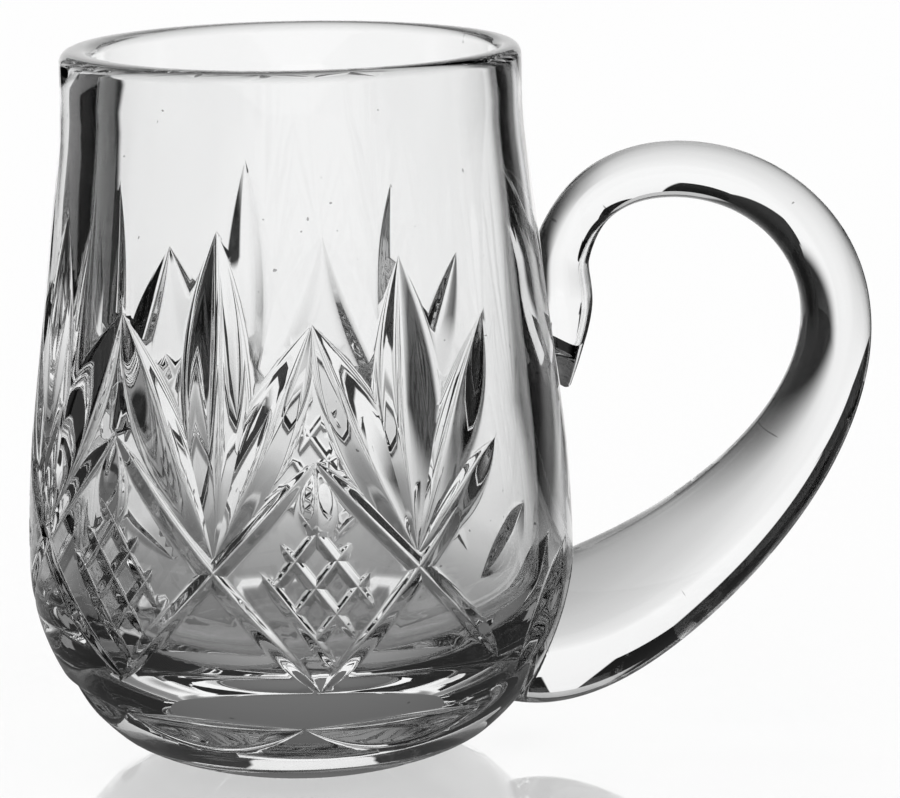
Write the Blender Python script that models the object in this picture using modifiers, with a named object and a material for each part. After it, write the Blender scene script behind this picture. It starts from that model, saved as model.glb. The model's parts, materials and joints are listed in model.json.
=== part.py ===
"""Cut-glass tankard: a turned crystal bowl with wheel-cut ornament and an applied glass handle.

Metres, +Z up. The origin is the centre of the flat foot, and the handle reaches along +X.
"""
import math

import bmesh
import bpy
from mathutils import Vector

MM = 0.001

# Bowl, turned about Z
HEIGHT = 115 * MM
FOOT_RADIUS = 18.5 * MM
FOOT_SLOPE = 3.5                 # run over rise where the underside leaves the flat foot
FOOT_BLEND_HEIGHT = 5.5 * MM     # where the underside runs into the round of the belly
BELLY_RADIUS = 43.9 * MM
BELLY_HEIGHT = 32.5 * MM
BELLY_DROP = 38.5 * MM           # half height of the ellipse that rounds the lower bowl
TAPER = 0.126                    # radius lost per height on the straight upper wall
TAPER_START = 57 * MM
TAPER_END = 99 * MM
LIP_HEIGHT = 108 * MM            # the wall is upright from here to the rim
RIM_WALL = 4.6 * MM
RIM_ROUND = 1.0 * MM             # rounding of both edges of the flat rim
BELLY_WALL = 6.2 * MM
FLOOR_HEIGHT = 12.7 * MM         # top of the solid base, inside the bowl
BOWL_SIDES = 73                  # odd, so that no facet edge runs along a cut opposite the handle
LIP_STEPS = 2                    # points along each stretch of the profile
TAPER_STEPS = 6
SHOULDER_STEPS = 5
BELLY_STEPS = 7
FOOT_STEPS = 3
HOLLOW_STEPS = 8
INSIDE_STEPS = 3
RIM_STEPS = 3

# Wheel-cut ornament, alike on both sides of the handle: angles from the handle, heights in millimetres
SPOTS = [    # angle, then heights of a diamond's bottom and top corner and of the ray tips above it
    (43.4, 22.6, 57.4, 76.7), (85.3, 20.8, 57.0, 77.5), (130.2, 20.8, 59.5, 78.1), (180.0, 20.8, 58.5, 78.1),
]
FANS = [(64.8, 87.0), (106.4, 91.5), (155.0, 91.0)]     # angle and height of each tall ray's tip
FAN_ROOT = 41.8 * MM
HATCHES = [    # three cuts each way: first start off the diamond's middle, step to the next start, run
    ((3.9, 49.7), (3.75, -4.8), (-15.0, -15.5)),
    ((-3.4, 49.3), (-3.5, -4.75), (12.6, -11.8)),
]
HATCH_COUNT = 3
SPLIT_DROP = 0.8 * MM            # the split in a diamond starts this far below its top corner
SPLIT_END = 43.5 * MM
RING_HEIGHT = 14.1 * MM
RING_DIP = 1.9 * MM
RING_PITCH = math.radians(45.6)
RING_COUNT = 3                                   # lenses on each side, from the back of the bowl
HANDLE_CUT_ENDS = ((math.radians(15), 37.2 * MM), (math.radians(34.4), 18.0 * MM))

# Depth and half angle of the mitre wheel for each kind of cut
LONG_CUT = (1.3 * MM, math.radians(50))
HATCH_CUT = (0.9 * MM, math.radians(50))
SPLIT_CUT = (1.45 * MM, math.radians(62))
TALL_RAY_CUT = (2.5 * MM, math.radians(64))
SIDE_RAY_CUT = (2.0 * MM, math.radians(64))
END_RAY_CUT = (1.7 * MM, math.radians(62))
RING_CUT = (2.65 * MM, math.radians(54))
HANDLE_CUT = (2.6 * MM, math.radians(64))
CUTTER_RISE = 1.6 * MM           # how far a cutter stands out of the glass
CUTTER_SKIM = 0.05 * MM          # how far its ends lift clear
LONG_STEPS = 8                   # sections along a cutter that follows the bowl round
SPLIT_STEPS = 4                  # sections along the split in a diamond's top corner
SHORT_STEPS = 3                  # sections along a cutter that hardly bends

# Handle: centre line (x, z) and radius in millimetres, from the lower joint to the upper tip
SEAT_GAP = 0.3 * MM
HANDLE_SIDES = 16
HANDLE_STEPS = 4                 # points between two stations
HANDLE_STATIONS = [
    (26.9, 15.2, 6.5), (35.2, 16.9, 11.1), (45.6, 20.1, 11.5), (54.7, 25.5, 10.85),
    (63.6, 31.5, 9.65), (74.2, 41.5, 8.2), (81.1, 51.4, 7.0), (85.6, 61.7, 6.1),
    (86.4, 71.8, 5.6), (83.7, 80.9, 5.2), (77.5, 88.1, 4.85), (69.7, 92.6, 4.65),
    (60.4, 94.2, 4.5), (52.0, 92.6, 4.4), (46.1, 88.2, 4.2), (42.4, 80.6, 4.65),
    (42.5, 72.7, 4.95), (42.0, 65.2, 3.75), (41.8, 59.7, 2.15),
]

# Glass and shading
CRYSTAL_COLOUR = (0.97, 0.98, 0.98, 1)
CRYSTAL_IOR = 1.545
CUT_ROUGHNESS = 0.02
DRAWN_ROUGHNESS = 0.03
SHARP_ANGLE = math.radians(20)   # facets that meet at more than this keep a sharp edge
WELD = 0.01 * MM                 # points closer than this are one


def outside_radius(height):
    """Radius of the uncut bowl's outside at a height."""
    if height <= BELLY_HEIGHT:
        return BELLY_RADIUS * math.sqrt(1 - ((BELLY_HEIGHT - height) / BELLY_DROP) ** 2)
    shoulder = TAPER_START - BELLY_HEIGHT
    lip = LIP_HEIGHT - TAPER_END
    eased = min(height - BELLY_HEIGHT, shoulder)
    straight = min(max(height - TAPER_START, 0), TAPER_END - TAPER_START)
    upright = min(max(height - TAPER_END, 0), lip)
    lost = eased ** 2 / (2 * shoulder) + straight + upright - upright ** 2 / (2 * lip)
    return BELLY_RADIUS - TAPER * lost


def outside_slope(height):
    """Change of the outside radius with height."""
    step = 0.05 * MM
    return (outside_radius(height + step) - outside_radius(height - step)) / (2 * step)


def inside_radius(height):
    """Radius of the hollow at a height."""
    if height <= BELLY_HEIGHT:
        depth = (BELLY_HEIGHT - height) / (BELLY_HEIGHT - FLOOR_HEIGHT)
        return (BELLY_RADIUS - BELLY_WALL) * math.sqrt(max(1 - depth ** 2, 0))
    share = min((height - BELLY_HEIGHT) / (LIP_HEIGHT - BELLY_HEIGHT), 1)
    return outside_radius(height) - BELLY_WALL - share * (RIM_WALL - BELLY_WALL)


def spaced(start, end, count):
    """Evenly spaced numbers from start up to and including end."""
    return [start + (end - start) * step / count for step in range(count + 1)]


def foot_curve():
    """Underside points (radius, height) from the belly's round down to the edge of the foot."""
    radius = outside_radius(FOOT_BLEND_HEIGHT)
    slope = outside_slope(FOOT_BLEND_HEIGHT)
    meet = (radius - slope * FOOT_BLEND_HEIGHT - FOOT_RADIUS) / (FOOT_SLOPE - slope)
    corner = FOOT_RADIUS + FOOT_SLOPE * meet
    points = []
    for share in spaced(0, 1, FOOT_STEPS):
        rest = 1 - share
        across = rest ** 2 * radius + 2 * rest * share * corner + share ** 2 * FOOT_RADIUS
        up = rest ** 2 * FOOT_BLEND_HEIGHT + 2 * rest * share * meet
        points.append((across, up))
    return points


def outside_profile():
    """Outside of the bowl (radius, height) from the lip down to the edge of the foot."""
    heights = spaced(LIP_HEIGHT, TAPER_END, LIP_STEPS)
    heights += spaced(TAPER_END, TAPER_START, TAPER_STEPS)[1:]
    heights += spaced(TAPER_START, BELLY_HEIGHT, SHOULDER_STEPS)[1:]
    points = [(outside_radius(height), height) for height in heights]
    lowest = math.asin((BELLY_HEIGHT - FOOT_BLEND_HEIGHT) / BELLY_DROP)
    for drop in spaced(0, lowest, BELLY_STEPS)[1:-1]:
        points.append((BELLY_RADIUS * math.cos(drop), BELLY_HEIGHT - BELLY_DROP * math.sin(drop)))
    return points + foot_curve()


def inside_profile():
    """Hollow of the bowl (radius, height) from the middle of its floor up to the lip."""
    deep = BELLY_HEIGHT - FLOOR_HEIGHT
    wide = BELLY_RADIUS - BELLY_WALL
    points = []
    for turn in spaced(0, math.pi / 2, HOLLOW_STEPS):
        points.append((wide * math.sin(turn), BELLY_HEIGHT - deep * math.cos(turn)))
    heights = spaced(BELLY_HEIGHT, TAPER_START, INSIDE_STEPS)[1:]
    heights += spaced(TAPER_START, LIP_HEIGHT, INSIDE_STEPS)[1:]
    return points + [(inside_radius(height), height) for height in heights]


def rim_profile():
    """Flat rim with rounded edges (radius, height), from the hollow over to the outside."""
    outer = outside_radius(LIP_HEIGHT) - RIM_ROUND
    inner = inside_radius(LIP_HEIGHT) + RIM_ROUND
    points = []
    for middle, first in ((inner, math.pi), (outer, math.pi / 2)):
        for turn in spaced(first, first - math.pi / 2, RIM_STEPS):
            across = middle + RIM_ROUND * math.cos(turn)
            points.append((across, HEIGHT - RIM_ROUND + RIM_ROUND * math.sin(turn)))
    return points


def new_collection(name):
    collection = bpy.data.collections.new(name)
    bpy.context.scene.collection.children.link(collection)
    return collection


def turned(name, points, collection):
    """Solid turned about Z from a profile of (radius, height) points."""
    mesh = bpy.data.meshes.new(name)
    edges = [(index, index + 1) for index in range(len(points) - 1)]
    mesh.from_pydata([(radius, 0, height) for radius, height in points], edges, [])
    solid = bpy.data.objects.new(name, mesh)
    collection.objects.link(solid)
    screw = solid.modifiers.new("turn", "SCREW")
    screw.steps = BOWL_SIDES
    screw.render_steps = BOWL_SIDES
    screw.use_merge_vertices = True
    screw.merge_threshold = WELD
    return solid


def on_bowl(angle, height):
    """Point on the uncut bowl and the outward normal there."""
    radius = outside_radius(height)
    point = Vector((radius * math.cos(angle), radius * math.sin(angle), height))
    normal = Vector((math.cos(angle), math.sin(angle), -outside_slope(height)))
    return point, normal.normalized()


def plunged(share):
    """Depth along a cut made by lowering the wheel into the glass: a lens."""
    return 1 - (2 * share - 1) ** 2


def rolled(share):
    """Depth along a cut made by rolling the glass past the wheel: even, with short tips."""
    return 1 - (2 * share - 1) ** 6


def mitre_cutter(name, start, end, cut, depth_along, steps, collection, dip=0):
    """V-edged cutter along the bowl between two (angle, height) places."""
    depth, half_angle = cut
    places = []
    for share in spaced(0, 1, steps):
        angle = start[0] + (end[0] - start[0]) * share
        height = start[1] + (end[1] - start[1]) * share - dip * plunged(share)
        places.append((on_bowl(angle, height), depth * depth_along(share) - CUTTER_SKIM))
    shape = bmesh.new()
    sections = []
    for index, ((point, normal), deep) in enumerate(places):
        before = places[max(index - 1, 0)][0][0]
        after = places[min(index + 1, steps)][0][0]
        side = normal.cross(after - before).normalized() * (deep + CUTTER_RISE) * math.tan(half_angle)
        top = point + normal * CUTTER_RISE
        corners = (point - normal * deep, top + side, top - side)
        sections.append([shape.verts.new(corner) for corner in corners])
    for here, there in zip(sections, sections[1:]):
        for corner in range(3):
            following = (corner + 1) % 3
            shape.faces.new((here[corner], here[following], there[following], there[corner]))
    shape.faces.new(sections[0])
    shape.faces.new(sections[-1])
    bmesh.ops.recalc_face_normals(shape, faces=shape.faces)
    mesh = bpy.data.meshes.new(name)
    shape.to_mesh(mesh)
    shape.free()
    cutter = bpy.data.objects.new(name, mesh)
    hide_cutter(cutter)
    collection.objects.link(cutter)


def hide_cutter(cutter):
    cutter.hide_render = True
    cutter.display_type = "WIRE"


def cut_fan(fan, near, far, side, cutters):
    """Three rays that spread from a root just above a crossing, to tips over the diamonds beside it."""
    angle, tall_tip = fan
    root = (side * math.radians(angle), FAN_ROOT)
    mitre_cutter("tall_ray", root, (root[0], tall_tip * MM), TALL_RAY_CUT, plunged, LONG_STEPS, cutters)
    for spot in (near, far):
        tip = (side * math.radians(spot[0]), spot[3] * MM)
        mitre_cutter("side_ray", root, tip, SIDE_RAY_CUT, plunged, LONG_STEPS, cutters)


def cut_crossing(near, far, side, cutters):
    """Two long grooves that cross between neighbouring diamonds and outline them."""
    for first, second in ((near, far), (far, near)):
        top = (side * math.radians(first[0]), first[2] * MM)
        bottom = (side * math.radians(second[0]), second[1] * MM)
        mitre_cutter("long_groove", top, bottom, LONG_CUT, rolled, LONG_STEPS, cutters)


def cut_end_ray(fan, near, side, cutters):
    """Low ray of the fan next to the handle, where no diamond follows."""
    root = (side * math.radians(fan[0]), FAN_ROOT)
    tip = (side * math.radians(near[0]), near[2] * MM)
    mitre_cutter("end_ray", root, tip, END_RAY_CUT, plunged, LONG_STEPS, cutters)


def cut_diamond(spot, side, cutters):
    """Cross-hatching inside a diamond, and the split that runs into its top corner."""
    for first, step, run in HATCHES:
        for number in range(HATCH_COUNT):
            angle = spot[0] + first[0] + number * step[0]
            height = first[1] + number * step[1]
            start = (side * math.radians(angle), height * MM)
            end = (side * math.radians(angle + run[0]), (height + run[1]) * MM)
            mitre_cutter("hatch", start, end, HATCH_CUT, rolled, SHORT_STEPS, cutters)
    middle = side * math.radians(spot[0])
    top = (middle, spot[2] * MM - SPLIT_DROP)
    mitre_cutter("split", top, (middle, SPLIT_END), SPLIT_CUT, plunged, SPLIT_STEPS, cutters)


def cut_base_lens(number, side, cutters):
    """Level lens cut low on the bowl, end to end with its neighbours."""
    start = (side * (math.pi - number * RING_PITCH), RING_HEIGHT)
    end = (side * (math.pi - (number + 1) * RING_PITCH), RING_HEIGHT)
    mitre_cutter("base_lens", start, end, RING_CUT, plunged, LONG_STEPS, cutters, RING_DIP)


def cut_beside_handle(side, cutters):
    """Short cut beside the handle's lower joint."""
    start, end = [(side * angle, height) for angle, height in HANDLE_CUT_ENDS]
    mitre_cutter("handle_cut", start, end, HANDLE_CUT, plunged, LONG_STEPS, cutters)


def cut_side(side, cutters):
    """All cuts on one side of the handle, apart from the diamonds' own."""
    for fan, near, far in zip(FANS, SPOTS, SPOTS[1:]):
        cut_fan(fan, near, far, side, cutters)
        cut_crossing(near, far, side, cutters)
    cut_end_ray(FANS[0], SPOTS[0], side, cutters)
    for number in range(RING_COUNT):
        cut_base_lens(number, side, cutters)
    cut_beside_handle(side, cutters)


def settle(solid):
    """Replace an object's mesh by its evaluated form, round faces smooth and cut edges sharp."""
    evaluated = solid.evaluated_get(bpy.context.evaluated_depsgraph_get())
    mesh = bpy.data.meshes.new_from_object(evaluated)
    solid.modifiers.clear()
    solid.data = mesh
    mesh.shade_smooth()
    mesh.set_sharp_from_angle(angle=SHARP_ANGLE)


def make_bowl(parts, cutters):
    bowl = turned("bowl", inside_profile() + rim_profile() + outside_profile() + [(0, 0)], parts)
    for side in (-1, 1):
        cut_side(side, cutters)
        for spot in SPOTS[1:-1]:
            cut_diamond(spot, side, cutters)
    cut_diamond(SPOTS[-1], 1, cutters)
    cuts = bowl.modifiers.new("wheel cuts", "BOOLEAN")
    cuts.operation = "DIFFERENCE"
    cuts.solver = "EXACT"
    cuts.operand_type = "COLLECTION"
    cuts.collection = cutters
    settle(bowl)
    return bowl


def handle_rod(parts):
    """Drawn glass rod along the handle's stations, as a closed mesh."""
    curve = bpy.data.curves.new("handle", "CURVE")
    curve.dimensions = "3D"
    curve.bevel_depth = 1
    curve.bevel_resolution = HANDLE_SIDES // 2 - 2
    curve.resolution_u = HANDLE_STEPS
    curve.use_fill_caps = True
    spline = curve.splines.new("BEZIER")
    spline.radius_interpolation = "CARDINAL"
    spline.bezier_points.add(len(HANDLE_STATIONS) - 1)
    for point, (across, up, radius) in zip(spline.bezier_points, HANDLE_STATIONS):
        point.co = Vector((across, 0, up)) * MM
        point.radius = radius * MM
        point.handle_left_type = "AUTO"
        point.handle_right_type = "AUTO"
    guide = bpy.data.objects.new("handle_guide", curve)
    parts.objects.link(guide)
    evaluated = guide.evaluated_get(bpy.context.evaluated_depsgraph_get())
    mesh = bpy.data.meshes.new_from_object(evaluated)
    bpy.data.objects.remove(guide)
    shape = bmesh.new()
    shape.from_mesh(mesh)
    bmesh.ops.remove_doubles(shape, verts=shape.verts, dist=WELD)
    bmesh.ops.recalc_face_normals(shape, faces=shape.faces)
    shape.to_mesh(mesh)
    shape.free()
    return mesh


def make_handle(parts, seats):
    handle = bpy.data.objects.new("handle", handle_rod(parts))
    parts.objects.link(handle)
    grown = [(radius + SEAT_GAP, height) for radius, height in outside_profile()]
    blank = turned("bowl_seat", [(0, HEIGHT), (grown[0][0], HEIGHT)] + grown + [(0, 0)], seats)
    hide_cutter(blank)
    seat = handle.modifiers.new("seat", "BOOLEAN")
    seat.operation = "DIFFERENCE"
    seat.solver = "EXACT"
    seat.object = blank
    settle(handle)
    return handle


def crystal(name, roughness):
    """Clear lead crystal."""
    material = bpy.data.materials.new(name)
    material.use_nodes = True
    shader = material.node_tree.nodes["Principled BSDF"]
    shader.inputs["Base Color"].default_value = CRYSTAL_COLOUR
    shader.inputs["Metallic"].default_value = 0
    shader.inputs["Roughness"].default_value = roughness
    shader.inputs["IOR"].default_value = CRYSTAL_IOR
    shader.inputs["Transmission Weight"].default_value = 1
    return material


def main():
    for leftover in list(bpy.data.objects):
        bpy.data.objects.remove(leftover)
    parts = new_collection("cut_glass_tankard")
    cutters = new_collection("wheel_cutters")
    seats = new_collection("seat_cutters")
    bowl = make_bowl(parts, cutters)
    bowl.data.materials.clear()
    bowl.data.materials.append(crystal("cut_crystal", CUT_ROUGHNESS))
    handle = make_handle(parts, seats)
    handle.data.materials.clear()
    handle.data.materials.append(crystal("drawn_crystal", DRAWN_ROUGHNESS))


main()
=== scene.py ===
"""Looks of the cut-glass tankard: polished crystal on a pale glossy floor, against a white backdrop.

Metres, +Z up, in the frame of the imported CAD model: the handle reaches along +X.
"""
import json
import math

import bmesh
import bpy
import numpy as np
from mathutils import Matrix, Vector

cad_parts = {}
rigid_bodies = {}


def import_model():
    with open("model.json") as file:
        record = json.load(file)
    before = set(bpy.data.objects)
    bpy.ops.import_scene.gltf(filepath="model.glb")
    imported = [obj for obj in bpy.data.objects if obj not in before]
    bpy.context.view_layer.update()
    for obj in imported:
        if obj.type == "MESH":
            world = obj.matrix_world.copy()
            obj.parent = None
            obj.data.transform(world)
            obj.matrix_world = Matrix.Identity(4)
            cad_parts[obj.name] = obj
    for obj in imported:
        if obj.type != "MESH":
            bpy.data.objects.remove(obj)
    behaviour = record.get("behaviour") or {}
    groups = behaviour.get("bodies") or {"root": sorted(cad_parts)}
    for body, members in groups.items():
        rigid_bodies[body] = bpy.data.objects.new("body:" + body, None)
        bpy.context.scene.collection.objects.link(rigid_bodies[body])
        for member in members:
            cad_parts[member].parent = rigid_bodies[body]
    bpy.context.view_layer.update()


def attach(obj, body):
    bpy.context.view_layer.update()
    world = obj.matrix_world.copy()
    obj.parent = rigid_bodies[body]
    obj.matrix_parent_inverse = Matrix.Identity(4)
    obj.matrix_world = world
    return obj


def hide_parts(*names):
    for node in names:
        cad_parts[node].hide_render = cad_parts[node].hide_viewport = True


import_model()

MM = 0.001

# Bowl, turned about Z, with the CAD model's sizes apart from a rounder rim and a shifted hollow
HEIGHT = 115 * MM
FOOT_RADIUS = 18.5 * MM
FOOT_SLOPE = 3.5                 # run over rise where the underside leaves the flat foot
FOOT_BLEND_HEIGHT = 5.5 * MM     # where the underside runs into the round of the belly
BELLY_RADIUS = 43.9 * MM
BELLY_HEIGHT = 32.5 * MM
BELLY_DROP = 38.5 * MM           # half height of the ellipse that rounds the lower bowl
TAPER = 0.126                    # radius lost per height on the straight upper wall
TAPER_START = 57 * MM
TAPER_END = 99 * MM
LIP_HEIGHT = 108 * MM            # the wall is upright from here to the rim
RIM_WALL = 4.6 * MM
RIM_ROUND = 1.9 * MM             # rounding of both edges of the rim, fire polished
BELLY_WALL = 6.2 * MM
FLOOR_HEIGHT = 12.7 * MM         # top of the solid base, inside the bowl
HOLLOW_SHIFT = 0.65 * MM         # the blown hollow sits this far off centre, towards the handle
BOWL_SIDES = 240
LIP_STEPS = 4                    # points along each stretch of the profile
TAPER_STEPS = 24
SHOULDER_STEPS = 18
BELLY_STEPS = 26
FOOT_STEPS = 10
HOLLOW_STEPS = 30
INSIDE_STEPS = 14
RIM_STEPS = 8
SLOPE_STEP = 0.05 * MM           # half the height over which a slope is measured

# Wheel-cut ornament, alike on both sides of the handle: angles from the handle, heights in millimetres
SPOTS = [    # angle, then heights of a diamond's bottom and top corner and of the ray tips above it
    (43.4, 22.6, 57.4, 76.7), (85.3, 20.8, 57.0, 77.5),
    (130.2, 20.8, 59.5, 78.1), (180.0, 20.8, 58.5, 78.1),
]
FANS = [(64.8, 87.0), (106.4, 91.5), (155.0, 91.0)]     # angle and height of each tall ray's tip
FAN_ROOT = 41.8 * MM
HATCHES = [    # three cuts each way: first start off the diamond's middle, step to the next start, run
    ((3.9, 49.7), (3.75, -4.8), (-15.0, -15.5)),
    ((-3.4, 49.3), (-3.5, -4.75), (12.6, -11.8)),
]
HATCH_COUNT = 3
SPLIT_DROP = 0.8 * MM            # the split in a diamond starts this far below its top corner
SPLIT_END = 43.5 * MM
RING_HEIGHT = 14.1 * MM
RING_DIP = 1.9 * MM
RING_PITCH = math.radians(45.6)
RING_COUNT = 3                                   # lenses on each side, from the back of the bowl
HANDLE_CUT_ENDS = ((math.radians(15), 37.2 * MM), (math.radians(34.4), 18.0 * MM))

# Depth and half angle of the mitre wheel for each kind of cut: deeper rays and splits than the CAD model's
LONG_CUT = (1.3 * MM, math.radians(50))
HATCH_CUT = (0.9 * MM, math.radians(50))
SPLIT_CUT = (1.65 * MM, math.radians(59))
TALL_RAY_CUT = (2.95 * MM, math.radians(60))
SIDE_RAY_CUT = (2.35 * MM, math.radians(60))
END_RAY_CUT = (1.9 * MM, math.radians(59))
RING_CUT = (2.65 * MM, math.radians(54))
HANDLE_CUT = (2.6 * MM, math.radians(64))
CUTTER_RISE = 1.6 * MM           # how far a cutter stands out of the glass
CUTTER_SKIM = 0.008 * MM         # how far its edges lift clear
END_LIFT = 2 * CUTTER_SKIM       # the same for its two ends
CUTTER_PITCH = 0.9 * MM          # distance between sections along a cutter
ROLL_POWER = 6                   # evenness of a rolled cut: the higher, the shorter its tips
EDGE_EASE = 0.3                  # share of a cut's depth over which polishing has rounded its edges
VALLEY_EASE = 0.12               # the same for the bottom, as a share of the cut's half width
VALLEY_STEPS = (0.6, 1.5, 3.0)   # points beside the bottom, in units of its rounding
EDGE_STEPS = (1, 0.5, 0, -0.5, -1)      # points over an edge, in units of its rounding

# Handle: centre line (x, z) and radius in millimetres, from the lower joint to the upper tip
SEAT_GAP = 0.1 * MM
HANDLE_SIDES = 64
HANDLE_STEPS = 16                # points between two stations
EVEN_REACH = 12                  # spread, in points, over which drawing has evened out the rod
EVEN_PAD = 3 * EVEN_REACH        # points beyond this no longer count
EVEN_END = (13, 15)              # stations between which the evening stops, before the pinched tip
HANDLE_STATIONS = [
    (26.9, 15.2, 6.5), (35.2, 16.9, 11.1), (45.6, 20.1, 11.5), (54.7, 25.5, 10.85),
    (63.6, 31.5, 9.65), (74.2, 41.5, 8.2), (81.1, 51.4, 7.0), (85.6, 61.7, 6.1),
    (86.4, 71.8, 5.6), (83.7, 80.9, 5.2), (77.5, 88.1, 4.85), (69.7, 92.6, 4.65),
    (60.4, 94.2, 4.5), (52.0, 92.6, 4.4), (46.1, 88.2, 4.2), (42.4, 80.6, 4.65),
    (42.5, 72.7, 4.95), (42.0, 65.2, 3.75), (41.8, 59.7, 2.15),
]
TIP_ROUND = 0.6                  # height of the tip's rounded end, in units of its radius
TIP_STEPS = 8
MARK_PLACE = (40.0 * MM, 4.4 * MM, 62.5 * MM)    # block that flattens the far side of the tip
MARK_SIZE = (8 * MM, 8 * MM, 18 * MM)
MARK_TURN = math.radians(45)
MARK_LEAN = math.radians(-30)
SHARP_ANGLE = math.radians(28)   # facets that meet at more than this keep a sharp edge
WELD = 0.002 * MM                # points closer than this are one

# Glass
CRYSTAL_IOR = 1.545
CRYSTAL_TINT = (0.994, 0.996, 0.996)
SPECK_TINT = (0.2, 0.2, 0.2)
CUT_DEPTH = 0.03 * MM            # glass below the blown surface by more than this has been cut
WAVE_SIZE = 17 * MM              # slow unevenness of the blown surface
WAVE_HEIGHT = 0.004 * MM
DRAW_SIZES = (2.2 * MM, 60 * MM)         # lines left by blowing and drawing: across and along
DRAW_HEIGHT = 0.0005 * MM
GRAIN_SIZE = 1.1 * MM            # grain left by the cutting wheel under the polish
GRAIN_HEIGHT = 0.00006 * MM
SMEAR_RANGE = (0.4, 0.7)         # wave heights between which the polish goes from clear to smeared
SMEAR_ROUGHNESS = (0.0, 0.014)
SPECK_SIZE = 1.3 * MM
SPECK_PEAK = (0.87, 0.89)        # the noise is a speck's edge at the first value and its core at the second

# Camera, fitted to the outline, the rim and the base in the photograph
CAMERA_PLACE = (0.01568, -0.5986, 0.1836)
CAMERA_HEADING = math.radians(0.832)     # from +Y towards +X
CAMERA_PITCH = math.radians(-11.905)
CAMERA_ROLL = math.radians(-0.857)
CAMERA_LENS = 152
CAMERA_SENSOR = 36

# Studio: a white sheet of painted light on the floor that runs from front to back, between dark sides, as
# the glass shows it
DARK_LEVEL = 0.004
TOP_LEVEL = 0.25                 # straight up
TOP_START = 0.7                  # sine of the elevation where the dim top begins
NO_BOUNCE = 0.5                  # a path has not bounced yet while its depth is below this
GLASS_BOUNCES = 32
MIRROR_BOUNCES = 16
FLOOR_HALF = 3
FLOOR_WHITE = 0.99
FLOOR_ROUGHNESS = 0.01
FLOOR_IOR = 1.6
FLOOR_POLISH = 1.8               # strength of the mirror image
GLOSS_MIDDLE = 0.01              # middle of the polished patch, towards the handle
GLOSS_FADE = (0.045, 0.08)       # the mirror image fades out between these distances from the middle
SHEET_LEFT = (0.2, 0.01, 0.4)    # edge near the object, half its softness, and x for y where it runs out
SHEET_RIGHT = (0.118, 0.025, 0.47)
SHEET_REACH = 0.5
PAINTED_LIGHT_LEVELS = [                 # place along the sheet, behind the object above zero, and brightness of the painted light: low near the object as painted shadow, rising farther back
    (-0.3, 0.6), (-0.08, 0.55), (-0.02, 0.15), (0.02, 0.1), (0.045, 0.19), (0.07, 0.29), (0.1, 0.44),
    (0.13, 0.62), (0.2, 0.8), (0.3, 0.92), (0.45, 1.0),
]
CARD_SOFT = 0.12                 # share of a card's width over which its sides fade
WHITE_END = 0.855                # on the right the glass finds white only up to this share of the width
BACK_PLACE = 1.9
BACK_HALF = 0.85
BACK_HEIGHT = 0.52
BACK_SOFT = 0.02
HIGH_PLACE = 2
HIGH_HALF = 0.71
HIGH_HEIGHT = 2.4
HIGH_SOFT = 0.04
HIGH_LEAN = 2.2                  # how much narrower the white gets towards the top
OVER_SHIFT = -0.05               # card above and behind the object
OVER_PLACE = 1.2
OVER_START = 0.9
OVER_HALF = 0.8
OVER_HEIGHT = 0.6
OVER_LEVEL = 0.6
FRONT_PLACE = 0.75               # dim card behind the camera
FRONT_HALF = 0.5
FRONT_HEIGHT = 0.35
FRONT_LEVEL = 0.2
SPILL_MIDDLE = 0.06              # painted light: the floor beside the bowl is brighter, where the handle passes light on
SPILL_REACH = (0.01, 0.055)
SPILL_START = (0.008, 0.03)
SPILL_SHIFT = 0.07
WING_PLACE = 0.6                 # dim cards on the left and right, and painted light on the floor before them
WING_START = 0.25
WING_SOFT = 0.05
WING_HALF = 0.05
WING_HEIGHT = 0.2
WING_LEVEL = 0.25


def outside_radius(height):
    """Radius of the uncut bowl's outside at a height."""
    if height <= BELLY_HEIGHT:
        return BELLY_RADIUS * math.sqrt(1 - ((BELLY_HEIGHT - height) / BELLY_DROP) ** 2)
    shoulder = TAPER_START - BELLY_HEIGHT
    lip = LIP_HEIGHT - TAPER_END
    eased = min(height - BELLY_HEIGHT, shoulder)
    straight = min(max(height - TAPER_START, 0), TAPER_END - TAPER_START)
    upright = min(max(height - TAPER_END, 0), lip)
    lost = eased ** 2 / (2 * shoulder) + straight + upright - upright ** 2 / (2 * lip)
    return BELLY_RADIUS - TAPER * lost


def outside_slope(height):
    """Change of the outside radius with height."""
    above = outside_radius(height + SLOPE_STEP)
    below = outside_radius(height - SLOPE_STEP)
    return (above - below) / (2 * SLOPE_STEP)


def inside_radius(height):
    """Radius of the hollow at a height."""
    if height <= BELLY_HEIGHT:
        depth = (BELLY_HEIGHT - height) / (BELLY_HEIGHT - FLOOR_HEIGHT)
        return (BELLY_RADIUS - BELLY_WALL) * math.sqrt(max(1 - depth ** 2, 0))
    share = min((height - BELLY_HEIGHT) / (LIP_HEIGHT - BELLY_HEIGHT), 1)
    return outside_radius(height) - BELLY_WALL - share * (RIM_WALL - BELLY_WALL)


def spaced(start, end, count):
    """Evenly spaced numbers from start up to and including end."""
    return [start + (end - start) * step / count for step in range(count + 1)]


def foot_curve():
    """Underside points (radius, height) from the belly's round down to the edge of the foot."""
    radius = outside_radius(FOOT_BLEND_HEIGHT)
    slope = outside_slope(FOOT_BLEND_HEIGHT)
    meet = (radius - slope * FOOT_BLEND_HEIGHT - FOOT_RADIUS) / (FOOT_SLOPE - slope)
    corner = FOOT_RADIUS + FOOT_SLOPE * meet
    points = []
    for share in spaced(0, 1, FOOT_STEPS):
        rest = 1 - share
        across = rest ** 2 * radius + 2 * rest * share * corner + share ** 2 * FOOT_RADIUS
        up = rest ** 2 * FOOT_BLEND_HEIGHT + 2 * rest * share * meet
        points.append((across, up))
    return points


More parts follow.
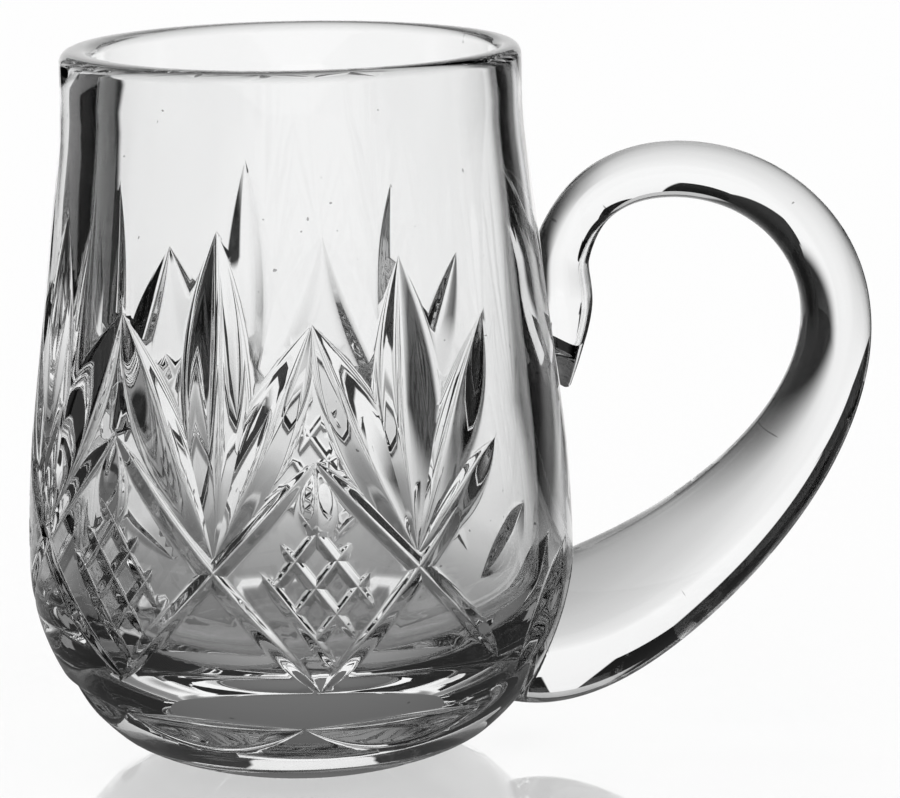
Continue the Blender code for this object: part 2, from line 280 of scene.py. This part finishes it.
def outside_profile():
    """Outside of the bowl (radius, height) from the lip down to the edge of the foot."""
    heights = spaced(LIP_HEIGHT, TAPER_END, LIP_STEPS)
    heights += spaced(TAPER_END, TAPER_START, TAPER_STEPS)[1:]
    heights += spaced(TAPER_START, BELLY_HEIGHT, SHOULDER_STEPS)[1:]
    points = [(outside_radius(height), height) for height in heights]
    lowest = math.asin((BELLY_HEIGHT - FOOT_BLEND_HEIGHT) / BELLY_DROP)
    for drop in spaced(0, lowest, BELLY_STEPS)[1:-1]:
        points.append((BELLY_RADIUS * math.cos(drop), BELLY_HEIGHT - BELLY_DROP * math.sin(drop)))
    return points + foot_curve()


def inside_profile():
    """Hollow of the bowl (radius, height) from the middle of its floor up to the lip."""
    deep = BELLY_HEIGHT - FLOOR_HEIGHT
    wide = BELLY_RADIUS - BELLY_WALL
    points = []
    for turn in spaced(0, math.pi / 2, HOLLOW_STEPS):
        points.append((wide * math.sin(turn), BELLY_HEIGHT - deep * math.cos(turn)))
    heights = spaced(BELLY_HEIGHT, TAPER_START, INSIDE_STEPS)[1:]
    heights += spaced(TAPER_START, LIP_HEIGHT, INSIDE_STEPS)[1:]
    return points + [(inside_radius(height), height) for height in heights]


def rim_profile():
    """Flat rim with rounded edges (radius, height), from the hollow over to the outside."""
    outer = outside_radius(LIP_HEIGHT) - RIM_ROUND
    inner = inside_radius(LIP_HEIGHT) + RIM_ROUND
    points = []
    for middle, first in ((inner, math.pi), (outer, math.pi / 2)):
        for turn in spaced(first, first - math.pi / 2, RIM_STEPS):
            across = middle + RIM_ROUND * math.cos(turn)
            points.append((across, HEIGHT - RIM_ROUND + RIM_ROUND * math.sin(turn)))
    return points


def turned(name, points):
    """Solid turned about Z from a profile of (radius, height) points."""
    mesh = bpy.data.meshes.new(name)
    edges = [(index, index + 1) for index in range(len(points) - 1)]
    mesh.from_pydata([(radius, 0, height) for radius, height in points], edges, [])
    solid = bpy.data.objects.new(name, mesh)
    bpy.context.scene.collection.objects.link(solid)
    screw = solid.modifiers.new("turn", "SCREW")
    screw.steps = BOWL_SIDES
    screw.render_steps = BOWL_SIDES
    screw.use_merge_vertices = True
    screw.merge_threshold = WELD
    settle(solid)
    return solid


def on_bowl(angle, height):
    """Point on the uncut bowl and the outward normal there."""
    radius = outside_radius(height)
    point = Vector((radius * math.cos(angle), radius * math.sin(angle), height))
    normal = Vector((math.cos(angle), math.sin(angle), -outside_slope(height)))
    return point, normal.normalized()


def plunged(share):
    """Depth along a cut made by lowering the wheel into the glass: a lens."""
    return 1 - (2 * share - 1) ** 2


def rolled(share):
    """Depth along a cut made by rolling the glass past the wheel: even, with short tips."""
    return 1 - (2 * share - 1) ** ROLL_POWER


def stands_off(point):
    """How far a point stands out from the uncut bowl."""
    across = math.hypot(point.x, point.y)
    return (across - outside_radius(point.z)) / math.hypot(1, outside_slope(point.z))


def half_section(point, normal, aside, deep, half_angle):
    """One side of a mitre cut, a flat facet with polished edges, and the bottom of the cut."""
    slope = 1 / math.tan(half_angle)
    deep = max(deep, CUTTER_SKIM)
    edge = deep * EDGE_EASE
    valley = deep / slope * VALLEY_EASE
    reach = (deep + edge) / slope
    bend = stands_off(point + aside * reach) / reach ** 2
    corners = []
    for step in VALLEY_STEPS:
        away = step * valley
        corners.append(point + aside * away - normal * (deep - slope * math.hypot(away, valley)))
    for step in EDGE_STEPS:
        fall = deep - step * edge
        away = 2 * fall / (slope + math.sqrt(max(slope ** 2 + 4 * bend * fall, 0)))
        eased = edge * (1 + step) ** 2 / 4 - CUTTER_SKIM * (1 - step) / 2
        corners.append(point + aside * away - normal * (bend * away ** 2 + eased))
    corners.append(corners[-1] + normal * CUTTER_RISE)
    return corners, point - normal * (deep - slope * valley)


def lofted(name, shape, rings):
    """Closed mesh over rings of points, each joined to the next, with both ends capped."""
    corners = len(rings[0])
    for here, there in zip(rings, rings[1:]):
        for corner in range(corners):
            following = (corner + 1) % corners
            shape.faces.new((here[corner], here[following], there[following], there[corner]))
    shape.faces.new(rings[0])
    shape.faces.new(rings[-1])
    bmesh.ops.recalc_face_normals(shape, faces=shape.faces)
    mesh = bpy.data.meshes.new(name)
    shape.to_mesh(mesh)
    shape.free()
    return mesh


def mitre_cutter(name, start, end, cut, depth_along, collection, dip=0):
    """V-edged cutter along the bowl between two (angle, height) places."""
    depth, half_angle = cut
    length = (on_bowl(*end)[0] - on_bowl(*start)[0]).length
    count = round(length / CUTTER_PITCH)
    places = []
    for share in spaced(0, 1, count):
        angle = start[0] + (end[0] - start[0]) * share
        height = start[1] + (end[1] - start[1]) * share - dip * plunged(share)
        places.append((*on_bowl(angle, height), depth * depth_along(share)))
    shape = bmesh.new()
    sections = []
    for index, (point, normal, deep) in enumerate(places):
        before = places[max(index - 1, 0)][0]
        after = places[min(index + 1, count)][0]
        aside = normal.cross(after - before).normalized()
        if index in (0, count):
            point = point + normal * END_LIFT
        right, bottom = half_section(point, normal, aside, deep, half_angle)
        left = half_section(point, normal, -aside, deep, half_angle)[0]
        sections.append([shape.verts.new(corner) for corner in right[::-1] + [bottom] + left])
    collection.objects.link(bpy.data.objects.new(name, lofted(name, shape, sections)))


def cut_fan(fan, near, far, side, cutters):
    """Three rays that spread from a root just above a crossing, to tips over the diamonds beside it."""
    angle, tall_tip = fan
    root = (side * math.radians(angle), FAN_ROOT)
    mitre_cutter("tall_ray", root, (root[0], tall_tip * MM), TALL_RAY_CUT, plunged, cutters)
    for spot in (near, far):
        tip = (side * math.radians(spot[0]), spot[3] * MM)
        mitre_cutter("side_ray", root, tip, SIDE_RAY_CUT, plunged, cutters)


def cut_crossing(near, far, side, cutters):
    """Two long grooves that cross between neighbouring diamonds and outline them."""
    for first, second in ((near, far), (far, near)):
        top = (side * math.radians(first[0]), first[2] * MM)
        bottom = (side * math.radians(second[0]), second[1] * MM)
        mitre_cutter("long_groove", top, bottom, LONG_CUT, rolled, cutters)


def cut_end_ray(fan, near, side, cutters):
    """Low ray of the fan next to the handle, where no diamond follows."""
    root = (side * math.radians(fan[0]), FAN_ROOT)
    tip = (side * math.radians(near[0]), near[2] * MM)
    mitre_cutter("end_ray", root, tip, END_RAY_CUT, plunged, cutters)


def cut_diamond(spot, side, cutters):
    """Cross-hatching inside a diamond, and the split that runs into its top corner."""
    for first, step, run in HATCHES:
        for number in range(HATCH_COUNT):
            angle = spot[0] + first[0] + number * step[0]
            height = first[1] + number * step[1]
            start = (side * math.radians(angle), height * MM)
            end = (side * math.radians(angle + run[0]), (height + run[1]) * MM)
            mitre_cutter("hatch", start, end, HATCH_CUT, rolled, cutters)
    middle = side * math.radians(spot[0])
    top = (middle, spot[2] * MM - SPLIT_DROP)
    mitre_cutter("split", top, (middle, SPLIT_END), SPLIT_CUT, plunged, cutters)


def cut_base_lens(number, side, cutters):
    """Level lens cut low on the bowl, end to end with its neighbours."""
    start = (side * (math.pi - number * RING_PITCH), RING_HEIGHT)
    end = (side * (math.pi - (number + 1) * RING_PITCH), RING_HEIGHT)
    mitre_cutter("base_lens", start, end, RING_CUT, plunged, cutters, RING_DIP)


def cut_beside_handle(side, cutters):
    """Short cut beside the handle's lower joint."""
    start, end = [(side * angle, height) for angle, height in HANDLE_CUT_ENDS]
    mitre_cutter("handle_cut", start, end, HANDLE_CUT, plunged, cutters)


def cut_side(side, cutters):
    """All cuts on one side of the handle, apart from the diamonds' own."""
    for fan, near, far in zip(FANS, SPOTS, SPOTS[1:]):
        cut_fan(fan, near, far, side, cutters)
        cut_crossing(near, far, side, cutters)
    cut_end_ray(FANS[0], SPOTS[0], side, cutters)
    for number in range(RING_COUNT):
        cut_base_lens(number, side, cutters)
    cut_beside_handle(side, cutters)


def settle(solid):
    """Replace an object's mesh by its evaluated form, round faces smooth and cut edges sharp."""
    evaluated = solid.evaluated_get(bpy.context.evaluated_depsgraph_get())
    mesh = bpy.data.meshes.new_from_object(evaluated)
    solid.modifiers.clear()
    solid.data = mesh
    mesh.shade_smooth()
    mesh.set_sharp_from_angle(angle=SHARP_ANGLE)


def subtraction(solid, name):
    """Boolean modifier that takes something away from a solid."""
    cut = solid.modifiers.new(name, "BOOLEAN")
    cut.operation = "DIFFERENCE"
    cut.solver = "MANIFOLD"
    return cut


def shift_hollow(bowl):
    """Move the hollow off centre, and the flat of the rim with it less and less towards the outside."""
    for vertex in bowl.data.vertices:
        across = math.hypot(vertex.co.x, vertex.co.y)
        height = vertex.co.z
        if height > FLOOR_HEIGHT - WELD:
            outer = outside_radius(height)
            share = (outer - across) / (outer - inside_radius(height))
            vertex.co.x += HOLLOW_SHIFT * min(max(share, 0), 1)


def mark_cuts(bowl):
    """Mark the faces that the wheel has cut, for the material."""
    marks = bowl.data.attributes.new("cut", "FLOAT", "FACE")
    for face, mark in zip(bowl.data.polygons, marks.data):
        on_wall = FOOT_BLEND_HEIGHT < face.center.z < LIP_HEIGHT
        below = CUT_DEPTH < -stands_off(face.center) < RIM_WALL / 2
        mark.value = float(on_wall and below)


def make_bowl():
    """Turned bowl with all its wheel cuts."""
    bowl = turned("crystal_bowl", inside_profile() + rim_profile() + outside_profile() + [(0, 0)])
    shift_hollow(bowl)
    cutters = bpy.data.collections.new("wheel_cutters")
    bpy.context.scene.collection.children.link(cutters)
    for side in (-1, 1):
        cut_side(side, cutters)
        for spot in SPOTS[1:-1]:
            cut_diamond(spot, side, cutters)
    cut_diamond(SPOTS[-1], 1, cutters)
    cuts = subtraction(bowl, "wheel cuts")
    cuts.operand_type = "COLLECTION"
    cuts.collection = cutters
    settle(bowl)
    for cutter in list(cutters.objects):
        bpy.data.objects.remove(cutter)
    bpy.data.collections.remove(cutters)
    mark_cuts(bowl)
    return bowl


def evened(points):
    """Points with the unevenness between stations drawn out and their wide bends kept."""
    places = np.arange(-EVEN_PAD, EVEN_PAD + 1)
    weights = np.exp(-0.5 * (places / EVEN_REACH) ** 2)
    weights /= weights.sum()

    def averaged(rows):
        before = 2 * rows[0] - rows[EVEN_PAD:0:-1]
        after = 2 * rows[-1] - rows[-2:-EVEN_PAD - 2:-1]
        longer = np.vstack((before, rows, after))
        return np.stack([np.convolve(column, weights, "valid") for column in longer.T], 1)

    soft = averaged(points)
    return 2 * soft - averaged(soft)


def handle_path():
    """Rows of x, z and radius along the handle, on a curve through its stations."""
    stations = np.array(HANDLE_STATIONS) * MM
    longer = np.vstack((stations[:1], stations, stations[-1:]))
    share = np.arange(HANDLE_STEPS)[:, None] / HANDLE_STEPS
    rows = []
    for before, here, there, after in zip(longer, longer[1:], longer[2:], longer[3:]):
        bend = 2 * before - 5 * here + 4 * there - after
        twist = 3 * (here - there) + after - before
        rows.append(here + share / 2 * (there - before + share * (bend + share * twist)))
    points = np.vstack(rows + [stations[-1:]])
    first, last = [station * HANDLE_STEPS for station in EVEN_END]
    keep = np.clip((np.arange(len(points)) - first) / (last - first), 0, 1)[:, None]
    return evened(points) * (1 - keep) + points * keep


def with_round_end(points, along):
    """Points and directions of the rod, with a rounded end after the last point."""
    last, ahead = points[-1], along[-1]
    ends = []
    for turn in spaced(0, math.pi / 2, TIP_STEPS)[1:-1]:
        place = last[:2] + ahead * last[2] * TIP_ROUND * math.sin(turn)
        ends.append([*place, last[2] * math.cos(turn)])
    return np.vstack((points, ends)), np.vstack((along, [ahead] * len(ends)))


def handle_rod():
    """Drawn glass rod along the handle's path, as a closed mesh."""
    points = handle_path()
    along = np.gradient(points[:, :2], axis=0)
    along /= np.linalg.norm(along, axis=1)[:, None]
    shape = bmesh.new()
    rod = shape.verts.layers.float_vector.new("rod")
    rings = []
    passed = 0
    for (across, up, radius), (run, rise) in zip(*with_round_end(points, along)):
        ring = []
        for turn in spaced(0, 2 * math.pi, HANDLE_SIDES)[:-1]:
            out = radius * math.cos(turn)
            aside = radius * math.sin(turn)
            corner = shape.verts.new((across - rise * out, aside, up + run * out))
            corner[rod] = (out, aside, passed)
            ring.append(corner)
        if rings:
            passed += (ring[0].co - rings[-1][0].co).length
        rings.append(ring)
    return lofted("handle_rod", shape, rings)


def shear_mark():
    """Block that leaves a slanting flat on the far side of the handle's pressed-on tip."""
    mesh = bpy.data.meshes.new("shear_mark")
    shape = bmesh.new()
    lean = Matrix.Rotation(MARK_TURN, 4, "Z") @ Matrix.Rotation(MARK_LEAN, 4, "X")
    sizes = Matrix.Diagonal((*MARK_SIZE, 1))
    bmesh.ops.create_cube(shape, size=1, matrix=Matrix.Translation(MARK_PLACE) @ lean @ sizes)
    shape.to_mesh(mesh)
    shape.free()
    block = bpy.data.objects.new("shear_mark", mesh)
    bpy.context.scene.collection.objects.link(block)
    return block


def make_handle():
    """Drawn rod, seated on the bowl's wall, with its tip pressed flat."""
    handle = bpy.data.objects.new("crystal_handle", handle_rod())
    bpy.context.scene.collection.objects.link(handle)
    grown = [(radius + SEAT_GAP, height) for radius, height in outside_profile()]
    blank = turned("bowl_seat", [(0, HEIGHT), (grown[0][0], HEIGHT)] + grown + [(0, 0)])
    subtraction(handle, "seat").object = blank
    mark = shear_mark()
    subtraction(handle, "shear mark").object = mark
    settle(handle)
    bpy.data.objects.remove(blank)
    bpy.data.objects.remove(mark)
    return handle


def dress(piece, material, node):
    """Give a piece its material, and seat it on the frame in place of a CAD node."""
    piece.data.materials.clear()
    piece.data.materials.append(material)
    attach(piece, "root")
    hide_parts(node)


def link(tree, source, target):
    """Join an output socket to an input socket."""
    tree.links.new(source, target)


def math_node(tree, operation, *values):
    """Math node whose inputs are numbers or sockets."""
    node = tree.nodes.new("ShaderNodeMath")
    node.operation = operation
    for socket, value in zip(node.inputs, values):
        if isinstance(value, (int, float)):
            socket.default_value = value
        else:
            link(tree, value, socket)
    return node.outputs[0]


def smooth_range(tree, value, start, end, low=0, high=1):
    """Smooth change from low to high as a value goes from start to end."""
    node = tree.nodes.new("ShaderNodeMapRange")
    node.interpolation_type = "SMOOTHSTEP"
    for name, number in (("From Min", start), ("From Max", end), ("To Min", low), ("To Max", high)):
        node.inputs[name].default_value = number
    link(tree, value, node.inputs["Value"])
    return node.outputs["Result"]


def ramp(tree, value, stops):
    """Grey level that follows a list of (place, level) stops."""
    node = tree.nodes.new("ShaderNodeValToRGB")
    link(tree, value, node.inputs["Fac"])
    while len(node.color_ramp.elements) < len(stops):
        node.color_ramp.elements.new(1)
    for element, (place, level) in zip(node.color_ramp.elements, stops):
        element.position = place
        element.color = (level, level, level, 1)
    return node.outputs["Color"]


def coordinates(tree, kind):
    """The x, y and z sockets of a texture coordinate."""
    source = tree.nodes.new("ShaderNodeTexCoord")
    split = tree.nodes.new("ShaderNodeSeparateXYZ")
    link(tree, source.outputs[kind], split.inputs[0])
    return split.outputs


def new_tree(name):
    """Material with an empty node tree."""
    material = bpy.data.materials.new(name)
    material.use_nodes = True
    material.node_tree.nodes.clear()
    return material, material.node_tree


def noise(tree, place, size):
    """Smooth noise with features of a given size."""
    node = tree.nodes.new("ShaderNodeTexNoise")
    node.inputs["Scale"].default_value = 1 / size
    node.inputs["Detail"].default_value = 0
    link(tree, place, node.inputs["Vector"])
    return node.outputs["Fac"]


def stretched(tree, place, sizes):
    """Place measured in units of three sizes, so that noise of size 1 follows them."""
    node = tree.nodes.new("ShaderNodeVectorMath")
    node.operation = "DIVIDE"
    link(tree, place, node.inputs[0])
    node.inputs[1].default_value = sizes
    return node.outputs[0]


def mesh_value(tree, name):
    """Node that reads an attribute of the mesh."""
    node = tree.nodes.new("ShaderNodeAttribute")
    node.attribute_name = name
    return node


def specks(tree, place):
    """Sparse specks of dust, where a fine noise peaks: 1 on a speck, 0 elsewhere."""
    return smooth_range(tree, noise(tree, place, SPECK_SIZE), *SPECK_PEAK)


def crystal(name):
    """Clear lead crystal without its surface detail: material, shader and place in the object."""
    material = bpy.data.materials.new(name)
    material.use_nodes = True
    tree = material.node_tree
    shader = tree.nodes["Principled BSDF"]
    shader.inputs["IOR"].default_value = CRYSTAL_IOR
    shader.inputs["Transmission Weight"].default_value = 1
    place = tree.nodes.new("ShaderNodeTexCoord").outputs["Object"]
    tint = tree.nodes.new("ShaderNodeMix")
    tint.data_type = "RGBA"
    tint.inputs["A"].default_value = (*CRYSTAL_TINT, 1)
    tint.inputs["B"].default_value = (*SPECK_TINT, 1)
    link(tree, specks(tree, place), tint.inputs["Factor"])
    link(tree, tint.outputs["Result"], shader.inputs["Base Color"])
    return material, shader, place


def finish_crystal(tree, shader, place, texture, texture_height):
    """Give crystal its relief, slow waves under a finer texture, and smears that follow the waves."""
    waves = noise(tree, place, WAVE_SIZE)
    height = math_node(tree, "MULTIPLY", texture, texture_height)
    height = math_node(tree, "MULTIPLY_ADD", waves, WAVE_HEIGHT, height)
    relief = tree.nodes.new("ShaderNodeBump")
    relief.inputs["Distance"].default_value = 1
    link(tree, height, relief.inputs["Height"])
    link(tree, relief.outputs["Normal"], shader.inputs["Normal"])
    link(tree, smooth_range(tree, waves, *SMEAR_RANGE, *SMEAR_ROUGHNESS), shader.inputs["Roughness"])


def cut_crystal():
    """Blown crystal with faint upright lines, and a fine wheel grain in the cuts."""
    material, shader, place = crystal("cut_crystal_glass")
    tree = material.node_tree
    cut = mesh_value(tree, "cut").outputs["Fac"]
    across, along = DRAW_SIZES
    surface = tree.nodes.new("ShaderNodeMix")
    surface.data_type = "VECTOR"
    link(tree, cut, surface.inputs["Factor"])
    link(tree, stretched(tree, place, (across, across, along)), surface.inputs["A"])
    link(tree, stretched(tree, place, (GRAIN_SIZE, GRAIN_SIZE, GRAIN_SIZE)), surface.inputs["B"])
    texture = noise(tree, surface.outputs["Result"], 1)
    height = math_node(tree, "MULTIPLY_ADD", cut, GRAIN_HEIGHT - DRAW_HEIGHT, DRAW_HEIGHT)
    finish_crystal(tree, shader, place, texture, height)
    return material


def drawn_crystal():
    """Drawn crystal with fine lines that run along the rod."""
    material, shader, place = crystal("drawn_crystal_glass")
    tree = material.node_tree
    across, along = DRAW_SIZES
    rod = mesh_value(tree, "rod").outputs["Vector"]
    lines = noise(tree, stretched(tree, rod, (across, across, along)), 1)
    finish_crystal(tree, shader, place, lines, DRAW_HEIGHT)
    return material


def stage_plane(name, corners, material):
    """Flat piece of the studio."""
    mesh = bpy.data.meshes.new(name)
    mesh.from_pydata(corners, [], [(0, 1, 2, 3)])
    mesh.materials.append(material)
    plane = bpy.data.objects.new(name, mesh)
    bpy.context.scene.collection.objects.link(plane)
    return plane


def painted_floor_light(tree):
    """Painted light on the floor where the glass shows it: a white sheet that fades to painted shadow
    towards the object, with painted pools of light beside the bowl and before the side cards.
    """
    x, y = coordinates(tree, "Object")[:2]
    aside = math_node(tree, "ABSOLUTE", x)
    along = math_node(tree, "ABSOLUTE", y)
    sheet = 1
    for side, (edge, soft, spread) in ((-1, SHEET_LEFT), (1, SHEET_RIGHT)):
        reach = math_node(tree, "MULTIPLY", math_node(tree, "MAXIMUM", y, edge / spread), side * spread)
        share = math_node(tree, "DIVIDE", x, reach)
        inside = smooth_range(tree, share, 1 - soft / edge, 1 + soft / edge, 1, 0)
        sheet = math_node(tree, "MULTIPLY", inside, sheet)
    # painted pool of light on the floor beside the bowl, where the handle passes light on
    off = math_node(tree, "ABSOLUTE", math_node(tree, "SUBTRACT", x, SPILL_MIDDLE))
    spill = smooth_range(tree, off, *SPILL_REACH, SPILL_SHIFT, 0)
    spill = math_node(tree, "MULTIPLY", spill, smooth_range(tree, y, *SPILL_START))
    back = math_node(tree, "ADD", y, spill)
    depth = math_node(tree, "MULTIPLY_ADD", back, 0.5 / SHEET_REACH, 0.5)
    # painted shadow near the object, rising to painted light farther back
    stops = [(0.5 + place / (2 * SHEET_REACH), level) for place, level in PAINTED_LIGHT_LEVELS]
    bright = math_node(tree, "MULTIPLY", sheet, ramp(tree, depth, stops))
    # painted light on the strips of floor before the side cards
    outside = smooth_range(tree, aside, WING_START, WING_START + WING_SOFT)
    between = smooth_range(tree, along, WING_HALF, WING_HALF + WING_SOFT, WING_LEVEL, 0)
    painted_wing_light = math_node(tree, "MULTIPLY", outside, between)
    return math_node(tree, "MAXIMUM", math_node(tree, "ADD", bright, painted_wing_light), DARK_LEVEL)


def make_floor():
    """White glossy sheet: white to the camera, with the object's mirror image and soft shadow; to the glass
    it glows with painted light and painted shadow.
    """
    material, tree = new_tree("glossy_white_floor")
    path = tree.nodes.new("ShaderNodeLightPath")
    # to rays from the glass the floor glows with painted light and painted shadow, and evenly white once a
    # path has bounced off something diffuse
    clear = math_node(tree, "LESS_THAN", path.outputs["Diffuse Depth"], NO_BOUNCE)
    dimmed = math_node(tree, "SUBTRACT", painted_floor_light(tree), FLOOR_WHITE)
    glow = tree.nodes.new("ShaderNodeEmission")
    link(tree, math_node(tree, "MULTIPLY_ADD", clear, dimmed, FLOOR_WHITE), glow.inputs["Strength"])
    white = tree.nodes.new("ShaderNodeBsdfDiffuse")
    white.inputs["Color"].default_value = (FLOOR_WHITE, FLOOR_WHITE, FLOOR_WHITE, 1)
    gloss = tree.nodes.new("ShaderNodeBsdfGlossy")
    gloss.inputs["Color"].default_value = (FLOOR_WHITE, FLOOR_WHITE, FLOOR_WHITE, 1)
    gloss.inputs["Roughness"].default_value = FLOOR_ROUGHNESS
    fresnel = tree.nodes.new("ShaderNodeFresnel")
    fresnel.inputs["IOR"].default_value = FLOOR_IOR
    x, y = coordinates(tree, "Object")[:2]
    aside = math_node(tree, "SUBTRACT", x, GLOSS_MIDDLE)
    aside = math_node(tree, "MULTIPLY", aside, aside)
    away = math_node(tree, "SQRT", math_node(tree, "MULTIPLY_ADD", y, y, aside))
    near = smooth_range(tree, away, *GLOSS_FADE, FLOOR_POLISH, 0)
    share = math_node(tree, "MULTIPLY", fresnel.outputs[0], near)
    polished = tree.nodes.new("ShaderNodeMixShader")
    link(tree, share, polished.inputs[0])
    link(tree, white.outputs[0], polished.inputs[1])
    link(tree, gloss.outputs[0], polished.inputs[2])
    seen = tree.nodes.new("ShaderNodeMixShader")
    link(tree, path.outputs["Is Camera Ray"], seen.inputs[0])
    link(tree, glow.outputs[0], seen.inputs[1])
    link(tree, polished.outputs[0], seen.inputs[2])
    output = tree.nodes.new("ShaderNodeOutputMaterial")
    link(tree, seen.outputs[0], output.inputs["Surface"])
    half = FLOOR_HALF
    stage_plane("floor", [(-half, -half, 0), (half, -half, 0), (half, half, 0), (-half, half, 0)], material)


def make_card(name, middle, across, half, height, level, soft, lean=0, end=1):
    """Upright card: even where the floor mirrors it, and in the glass with soft sides up to an end."""
    material, tree = new_tree(name)
    u, v = coordinates(tree, "UV")[:2]
    aside = math_node(tree, "ABSOLUTE", math_node(tree, "SUBTRACT", u, end / 2))
    narrowing = math_node(tree, "ADD", 1, math_node(tree, "MULTIPLY", v, lean))
    widened = math_node(tree, "MULTIPLY", aside, narrowing)
    white = smooth_range(tree, widened, end / 2 - soft, end / 2, 1, 0)
    path = tree.nodes.new("ShaderNodeLightPath")
    outside = math_node(tree, "LESS_THAN", path.outputs["Transmission Depth"], NO_BOUNCE)
    lit = math_node(tree, "MAXIMUM", white, outside)
    glow = tree.nodes.new("ShaderNodeEmission")
    strength = math_node(tree, "MULTIPLY_ADD", lit, level - DARK_LEVEL, DARK_LEVEL)
    link(tree, strength, glow.inputs["Strength"])
    output = tree.nodes.new("ShaderNodeOutputMaterial")
    link(tree, glow.outputs[0], output.inputs["Surface"])
    material.cycles.emission_sampling = "NONE"
    middle = Vector(middle)
    across = Vector(across)
    rise = Vector((0, 0, height))
    left, right = middle - across * half, middle + across * half
    card = stage_plane(name, [left, right, right + rise, left + rise], material)
    layer = card.data.uv_layers.new(name="card")
    for corner, place in zip(layer.data, ((0, 0), (1, 0), (1, 1), (0, 1))):
        corner.uv = place
    card.visible_camera = False
    card.visible_diffuse = False
    card.visible_shadow = False


def make_cards():
    """White cards behind and above the object, and dim ones in front and at its sides."""
    along_x, along_y = (1, 0, 0), (0, 1, 0)
    back = (0, BACK_PLACE, 0)
    make_card("back_card", back, along_x, BACK_HALF, BACK_HEIGHT, 1, BACK_SOFT, 0, WHITE_END)
    high = (0, HIGH_PLACE, 0)
    make_card("high_card", high, along_x, HIGH_HALF, HIGH_HEIGHT, 1, HIGH_SOFT, HIGH_LEAN, WHITE_END)
    over = (OVER_SHIFT, OVER_PLACE, OVER_START)
    make_card("over_card", over, along_x, OVER_HALF, OVER_HEIGHT, OVER_LEVEL, CARD_SOFT)
    front = (0, -FRONT_PLACE, 0)
    make_card("front_card", front, along_x, FRONT_HALF, FRONT_HEIGHT, FRONT_LEVEL, CARD_SOFT)
    for name, side in (("left_card", -1), ("right_card", 1)):
        beside = (side * WING_PLACE, 0, 0)
        make_card(name, beside, along_y, WING_HALF, WING_HEIGHT, WING_LEVEL, CARD_SOFT)


def make_world():
    """White to the camera, even for the floor's own shading, and dark with a dim top for the glass."""
    world = bpy.data.worlds.new("studio")
    world.use_nodes = True
    bpy.context.scene.world = world
    tree = world.node_tree
    background = tree.nodes["Background"]
    background.inputs["Color"].default_value = (1, 1, 1, 1)
    up = coordinates(tree, "Generated")["Z"]
    dim = smooth_range(tree, up, TOP_START, 1, DARK_LEVEL, TOP_LEVEL)
    path = tree.nodes.new("ShaderNodeLightPath")
    bent = math_node(tree, "MAXIMUM", path.outputs["Is Glossy Ray"], path.outputs["Is Transmission Ray"])
    clear = math_node(tree, "GREATER_THAN", bent, path.outputs["Diffuse Depth"])
    shown = tree.nodes.new("ShaderNodeMix")
    link(tree, clear, shown.inputs[0])
    shown.inputs[2].default_value = 1
    link(tree, dim, shown.inputs[3])
    link(tree, shown.outputs[0], background.inputs["Strength"])


def make_camera():
    """Camera at the photograph's viewpoint."""
    forward = Vector((
        math.sin(CAMERA_HEADING) * math.cos(CAMERA_PITCH),
        math.cos(CAMERA_HEADING) * math.cos(CAMERA_PITCH),
        math.sin(CAMERA_PITCH),
    ))
    level = Vector((math.cos(CAMERA_HEADING), -math.sin(CAMERA_HEADING), 0))
    raised = level.cross(forward)
    right = level * math.cos(CAMERA_ROLL) + raised * math.sin(CAMERA_ROLL)
    up = raised * math.cos(CAMERA_ROLL) - level * math.sin(CAMERA_ROLL)
    view = bpy.data.cameras.new("camera")
    view.lens = CAMERA_LENS
    view.sensor_fit = "HORIZONTAL"
    view.sensor_width = CAMERA_SENSOR
    camera = bpy.data.objects.new("camera", view)
    bpy.context.scene.collection.objects.link(camera)
    turn = Matrix((right, up, -forward)).transposed().to_4x4()
    camera.matrix_world = Matrix.Translation(CAMERA_PLACE) @ turn
    bpy.context.scene.camera = camera


def main():
    """Both pieces of the tankard, and the studio around it."""
    scene = bpy.context.scene
    scene.view_settings.view_transform = "Standard"
    scene.cycles.max_bounces = GLASS_BOUNCES
    scene.cycles.transmission_bounces = GLASS_BOUNCES
    scene.cycles.glossy_bounces = MIRROR_BOUNCES
    scene.cycles.blur_glossy = 0     # the glass passes all its light on to the floor
    dress(make_bowl(), cut_crystal(), "bowl")
    dress(make_handle(), drawn_crystal(), "handle")
    make_floor()
    make_cards()
    make_world()
    make_camera()


main()
